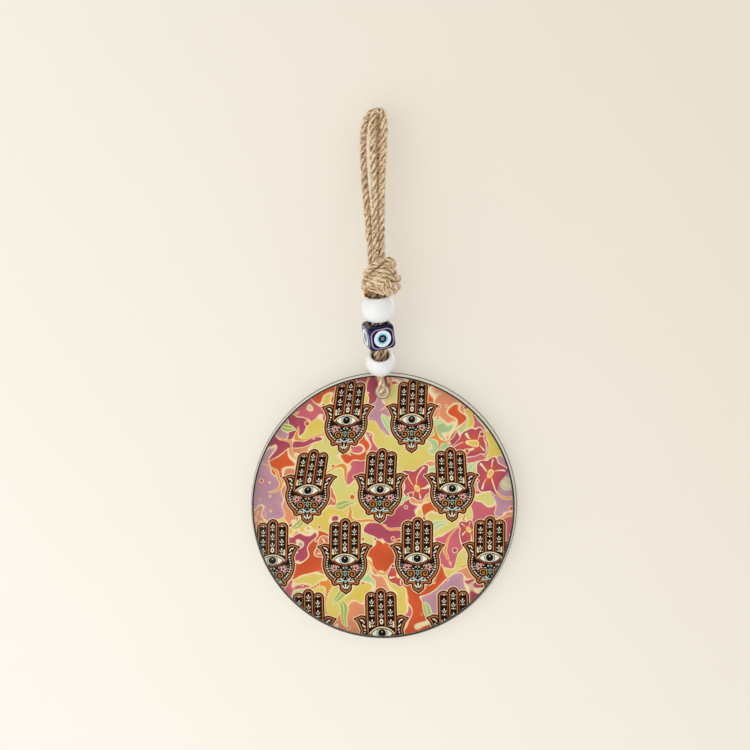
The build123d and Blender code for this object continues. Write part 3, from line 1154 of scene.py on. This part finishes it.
def print_ground(canvas, look, across, up):
    """Wash of leaves, blossoms and tendrils behind the hands."""
    plain = across.join(up)
    sockets = {"Vector": plain, "Scale": 0.06, "Detail": 1.0}
    swirl = canvas.add("ShaderNodeTexNoise", None, sockets, output="Color")
    sockets = {0: swirl, 1: (14.0, 14.0, 0.0), 2: plain}
    place = canvas.add("ShaderNodeVectorMath", {"operation": "MULTIPLY_ADD"}, sockets)

    # The patches spread from a middle distance outwards
    even_reach, spreading = 34, 0.0013
    scallop = (place.noise(0.13, 0.0) - 0.5) * 0.22 + (across.span(up) - even_reach) * spreading
    colour = plain.noise(0.03, 1.0).above(0.52, 0.3).blend(look.olive, look.lime)
    patches = (
        (look.mint, (13, 60, 0), 0.62, 0.03),
        (look.salmon, (88, -31, 0), 0.63, 0.028),
        (look.pink, (31, 170, 0), 0.62, 0.028),
        (look.coral, (-120, -75, 0), 0.62, 0.027),
        (look.magenta, (-47, 21, 0), 0.655, 0.027),
        (look.lilac, (210, 140, 0), 0.69, 0.034),
    )
    for fill, offset, share, scale in patches:
        colour = print_patch(place, scallop, colour, look, fill, offset, share, scale)

    stems = abs(place.noise(0.045, 0.0) - 0.5)
    shown = plain.noise(0.025, 0.0).above(0.5, 0.02)
    colour = layered(
        colour,
        (shown * stems.below(0.016, 0.006), look.cream),
        (shown * stems.below(0.009, 0.004), look.orange),
    )

    x, y, (size, turn, kind) = cell_motif(place, 0.05)
    angle = turn * math.tau
    cosine = angle.math("COSINE")
    sine = angle.math("SINE")
    along = x * cosine + y * sine
    aside = abs(y * cosine - x * sine)
    leaf = aside + along * along * 0.055 - (size * 1.8 + 1.2)
    shown = kind.above(0.45)
    colour = layered(
        colour,
        (shown * leaf.below(0.5), look.cream),
        (shown * leaf.below(0.0), size.above(0.5).blend(look.sage, look.mint)),
        (shown * leaf.below(-0.4) * aside.below(0.2), look.cream),
    )

    x, y, (size, turn, kind) = cell_motif(place, 0.03, 0.8)
    reach = x.span(y)
    angle = y.math("ARCTAN2", x) + turn * math.tau
    petal = (angle * 5).math("COSINE")
    blossom = reach - (size * 3.5 + 5.0) * (petal * 0.12 + 0.88)
    fill = kind.ramp((0.0, look.coral), (0.35, look.magenta), (0.6, look.salmon), (0.8, look.magenta))
    fill = reach.below(3.5, 5.0).blend(fill, look.coral)
    vein = blossom.below(-1.0) * petal.above(0.93, 0.05) * reach.above(2.4)
    shown = size.above(0.35)
    colour = layered(
        colour,
        (shown * blossom.below(0.55), look.cream),
        (shown * blossom.below(0.0), fill),
        (shown * vein, look.cream),
        (shown * reach.below(1.9), look.cream),
        (shown * reach.below(1.35), look.olive),
    )

    x, y, (size, turn, kind) = cell_motif(plain, 0.14)
    berry = x.span(y) - size * 1.1
    shown = turn.above(0.62)
    fill = kind.above(0.5).blend(look.coral, look.magenta)
    wash = plain.noise(0.09, 5.0, 0.6)
    return layered(
        colour,
        (shown * berry.below(0.35), look.cream),
        (shown * berry.below(0.0), fill),
        (wash.below(0.5, 0.5) * 0.1, look.ink),
    )


def from_print_centre(look, across, up):
    """Distance from the middle of the printed circle."""
    return (across + look.printed_left / MM).span(up + look.printed_drop / MM)


def print_material(look, centre):
    """Printed film: hands over a washed ground in front, plain backing behind."""
    material, canvas = new_canvas("printed_film")
    place = object_place(canvas, centre)
    across, behind, up = place.split()
    ground = print_ground(canvas, look, across, up)
    x, y = hand_place(look, across, up)
    paper = place.noise(1.2, 3.0)
    colour = layered(
        print_hand(ground, look, x, y),
        (from_print_centre(look, across, up).above(look.printed_radius / MM, 0.15), look.border),
        (behind.above(0.0, 0.02), (paper * 0.25).blend(look.backing, dimmed(look.backing, 0.8))),
    )
    sockets = {"Base Color": colour, "Roughness": paper * 0.12 + 0.5, "Specular IOR Level": 0.0}
    return surfaced(material, principled(canvas, sockets))


def glass_material(look):
    """Clear polished glass with painted dark lines at its rim, standing in for refraction and reflections in
    the rounded edge, and a ground hole darkened by painted shade.
    """
    low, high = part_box("glass_disc")
    material, canvas = new_canvas("clear_glass")
    place = object_place(canvas, (low + high) / 2)
    across, _, up = place.split()
    from_centre = across.span(up)
    radius = (high.x - low.x) / 2 / MM
    edge = look.printed_radius / MM
    from_print = from_print_centre(look, across, up)
    # Painted refraction: a dark ring where the printed circle ends, standing in for the rounded edge seen
    # through the glass.
    painted_refraction_line = from_print.between(edge - 0.1, edge + 0.65, 0.15)
    # Painted shade: a dark grey line round the rim's outside stands in for the reflections in the glass's
    # edge. It fades where the print reaches the rim
    apart = (from_print - from_centre).above(-0.1, 0.8)
    painted_rim_shade = from_centre.above(radius - 0.5, 0.25) * (apart * 0.6 + 0.4)
    # Rough ground glass round the hole, coloured dark olive as painted shade in the hole.
    ground = across.span(up - (radius - HOLE_DROP)).below(look.ground_hole / MM, 0.2)
    inside = canvas.add("ShaderNodeNewGeometry", output="Backfacing")
    mirror = canvas.add("ShaderNodeFresnel", None, {"IOR": 1.36}) * (1 - inside)
    share = mirror.most(painted_rim_shade * 0.9).most(painted_refraction_line * 0.9).most(ground * 0.7)
    colour = layered(
        (1.0, 1.0, 1.0),
        (painted_refraction_line, look.painted_refraction_colour),
        (painted_rim_shade, look.painted_rim_colour),
        (ground, look.ground_glass_and_painted_shade),
    )
    sockets = {
        "Base Color": colour,
        "Metallic": 1 - painted_rim_shade.most(painted_refraction_line).most(ground),
        "Roughness": place.noise(0.05, 3.0) * 0.04 + ground * 0.4 + 0.01,
        "IOR": 1.5,
        "Specular IOR Level": 0.2,
    }
    clear = canvas.add("ShaderNodeBsdfTransparent", None, {"Color": (*look.glass_tint, 1.0)})
    sockets = {0: share, 1: clear, 2: principled(canvas, sockets)}
    return surfaced(material, canvas.add("ShaderNodeMixShader", None, sockets))


class HANGING_OT_finish_disc(bpy.types.Operator):
    """Print the film and polish the glass"""

    bl_idname = "hanging.finish_disc"
    bl_label = "Finish glass disc"

    def execute(self, context):
        look = context.scene.hanging_print
        dress("glass_disc", glass_material(look))
        self.lay_film(look)
        return {"FINISHED"}

    def lay_film(self, look):
        """The film, a hair behind the glass, with its hole and its print."""
        low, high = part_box("print_film")
        glass_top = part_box("glass_disc")[1].z
        front = low.y + look.film_gap
        depth = high.y - front
        centre = Vector(((low.x + high.x) / 2, (front + high.y) / 2, (low.z + high.z) / 2))
        radius = (high.x - low.x) / 2
        hole = Vector((centre.x, centre.y, glass_top - HOLE_DROP * MM))
        laid = centre - Vector((look.printed_left, 0, look.printed_drop))
        film = self.round_plate("printed_sheet", radius + look.film_reach, depth, laid)
        cutter = self.round_plate("hole_cutter", look.film_hole, 4 * depth, hole)
        bpy.ops.object.select_all(action="DESELECT")
        film.select_set(True)
        bpy.context.view_layer.objects.active = film
        bpy.ops.object.modifier_add(type="BOOLEAN")
        film.modifiers[0].object = cutter
        film.modifiers[0].operation = "DIFFERENCE"
        film.modifiers[0].solver = "EXACT"
        bpy.ops.object.modifier_apply(modifier=film.modifiers[0].name)
        bpy.data.objects.remove(cutter)
        film.data.materials.append(print_material(look, centre))
        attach(film, "disc")
        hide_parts("print_film")

    def round_plate(self, name, radius, depth, centre):
        """Flat round plate that faces the viewer."""
        plate = add_shape(
            name, bpy.ops.mesh.primitive_cylinder_add, vertices=192, radius=radius, depth=depth
        )
        plate.data.transform(Matrix.Translation(centre) @ Matrix.Rotation(math.radians(90), 4, "X"))
        return plate


# Stage


def wall_material(stage):
    """Plain plaster with painted light towards the lower left, seen from the front only."""
    material, canvas = new_canvas("plaster")
    place = object_place(canvas)
    # Painted light: the plaster turns lighter towards the lower left, where the key lamp stands.
    painted_window_light = place.dot((-0.8, 0.0, -0.6)).above(75.0, 420.0)
    grain = place.noise(0.02, 3.0)
    colour = layered(
        stage.wall,
        (painted_window_light, stage.painted_wall_light),
        (grain * 0.05, dimmed(stage.wall, 0.8)),
    )
    plaster = principled(canvas, {"Base Color": colour, "Roughness": 0.95, "Specular IOR Level": 0.1})
    clear = canvas.add("ShaderNodeBsdfTransparent")
    behind = canvas.add("ShaderNodeNewGeometry", output="Backfacing")
    return surfaced(material, canvas.add("ShaderNodeMixShader", None, {0: behind, 1: plaster, 2: clear}))


def soft_light(name, place, size, power, colour):
    """Flat square lamp, turned towards the middle of the hanging."""
    aim = Vector((0, 0, -0.13))
    data = bpy.data.lights.new(name, "AREA")
    data.shape = "RECTANGLE"
    data.size = size
    data.size_y = size
    data.energy = power
    data.color = colour
    lamp = link(name, data)
    lamp.location = place
    lamp.rotation_mode = "QUATERNION"
    lamp.rotation_quaternion = (aim - Vector(place)).to_track_quat("-Z", "Y")


class HANGING_OT_set_stage(bpy.types.Operator):
    """Set the wall, the lights and the camera"""

    bl_idname = "hanging.set_stage"
    bl_label = "Set stage"

    def execute(self, context):
        stage = context.scene.hanging_stage
        self.build_wall(stage)
        soft_light("key", (-1.1, -1.1, -0.75), size=3.0, power=16.5, colour=(1.0, 0.995, 0.985))
        soft_light("behind", (0.6, 1.3, 0.5), size=1.0, power=9.0, colour=(1.0, 0.99, 0.97))
        self.light_room(context.scene)
        self.place_camera(context.scene, stage)
        context.scene.view_settings.view_transform = "Standard"
        return {"FINISHED"}

    def build_wall(self, stage):
        plane = bpy.ops.mesh.primitive_plane_add
        wall = add_shape("wall", plane, size=stage.wall_size, location=(0, stage.wall_place, 0))
        wall.data.transform(Matrix.Rotation(math.radians(90), 4, "X"))
        wall.data.materials.append(wall_material(stage))
        wall.visible_diffuse = False
        wall.visible_shadow = False

    def light_room(self, scene):
        """Even light from all round, less of it in mirrored rays."""
        world = bpy.data.worlds.new("room")
        scene.world = world
        world.use_nodes = True
        world.node_tree.nodes.clear()
        canvas = Wire(world.node_tree)
        rays = ("Is Camera Ray", "Is Glossy Ray", "Is Transmission Ray")
        seen, mirrored, passed = canvas.add("ShaderNodeLightPath", output=rays)
        strength = seen.most(passed) * 0.12 - mirrored * 0.58 + 0.78
        sockets = {"Color": (1.0, 0.995, 0.985, 1.0), "Strength": strength}
        room = canvas.add("ShaderNodeBackground", None, sockets)
        canvas.add("ShaderNodeOutputWorld", None, {"Surface": room}, output=None)

    def place_camera(self, scene, stage):
        view_side, view_height = -3.5, -126.4
        data = bpy.data.cameras.new("photo_view")
        data.sensor_width = 36.0
        data.lens = data.sensor_width * stage.distance / stage.frame_width
        data.clip_start = 0.05
        camera = link("photo_view", data)
        disc_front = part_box("glass_disc")[0].y
        aim = Vector((view_side * MM, disc_front, view_height * MM))
        camera.location = aim - Vector((0, stage.distance, 0))
        upright = Quaternion((1, 0, 0), math.radians(90))
        camera.rotation_mode = "QUATERNION"
        camera.rotation_quaternion = Quaternion((0, 1, 0), stage.roll) @ upright
        scene.camera = camera


class HANGING_PT_sidebar(bpy.types.Panel):
    """Steps of the wall hanging"""

    bl_idname = "HANGING_PT_sidebar"
    bl_label = "Glass wall hanging"
    bl_space_type = "VIEW_3D"
    bl_region_type = "UI"
    bl_category = "Hanging"

    def draw(self, context):
        for step in STEPS:
            self.layout.operator(step.bl_idname)


STEPS = (
    HANGING_OT_twist_loops,
    HANGING_OT_thread_cord,
    HANGING_OT_tie_knot,
    HANGING_OT_fray_jute,
    HANGING_OT_finish_wood_beads,
    HANGING_OT_finish_cube,
    HANGING_OT_finish_disc,
    HANGING_OT_set_stage,
)
GROUPS = {
    "hanging_jute": HangingJute,
    "hanging_beads": HangingBeads,
    "hanging_print": HangingPrint,
    "hanging_stage": HangingStage,
}
CLASSES = (*GROUPS.values(), *STEPS, HANGING_PT_sidebar)


def register():
    for made in CLASSES:
        bpy.utils.register_class(made)
    for name, group in GROUPS.items():
        setattr(bpy.types.Scene, name, PointerProperty(type=group))


def unregister():
    for name in GROUPS:
        delattr(bpy.types.Scene, name)
    for made in reversed(CLASSES):
        bpy.utils.unregister_class(made)


def main():
    register()
    bpy.ops.hanging.twist_loops()
    bpy.ops.hanging.thread_cord()
    bpy.ops.hanging.tie_knot()
    bpy.ops.hanging.fray_jute()
    bpy.ops.hanging.finish_wood_beads()
    bpy.ops.hanging.finish_cube()
    bpy.ops.hanging.finish_disc()
    bpy.ops.hanging.set_stage()


if __name__ == "__main__":
    main()
